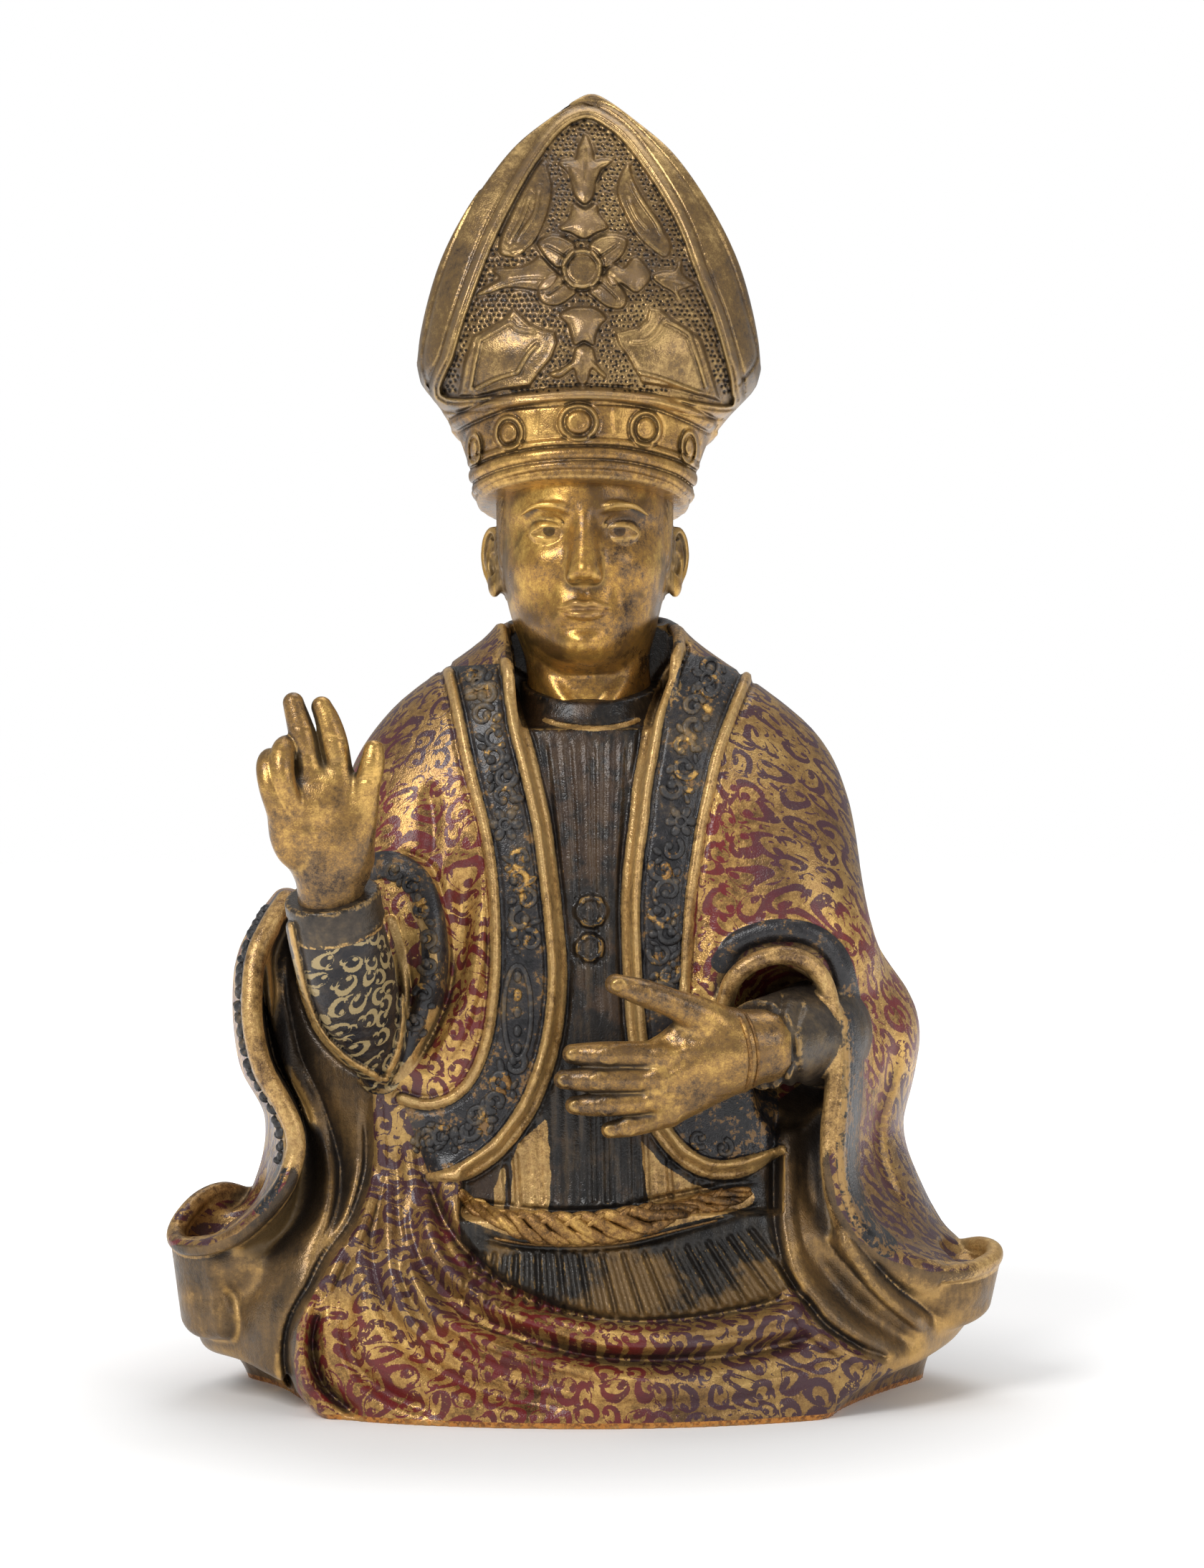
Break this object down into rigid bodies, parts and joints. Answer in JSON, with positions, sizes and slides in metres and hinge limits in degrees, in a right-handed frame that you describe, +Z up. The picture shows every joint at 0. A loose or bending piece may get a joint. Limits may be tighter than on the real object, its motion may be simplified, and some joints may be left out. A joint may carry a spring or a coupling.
{
  "type": "carved wooden bust",
  "caption": "Carved and gilded wooden half-length figure in a tall mitre and a wide mantle, right hand raised in blessing, left hand held before the breast, on a flat underside.",
  "frame": {"origin": "on the flat underside, under the middle of the bounding box", "axes": "+Z up towards the point of the mitre, -Y towards the viewer that the face looks at, +X to the viewer's right"},
  "size_m": [0.4734, 0.3024, 0.7515],
  "materials": {
    "painted_gilt_wood": "carved wood with worn gold leaf under dark crimson and blue-black painted ornament, aged brown patina",
    "gilt_hand_right": "carved wood with worn gold leaf and dark mottling",
    "gilt_hand_left": "carved wood with worn gold leaf and dark mottling"
  },
  "bodies": {
    "root": {"bust": "painted_gilt_wood", "right_hand": "gilt_hand_right", "left_hand": "gilt_hand_left"}
  },
  "joints": []
}
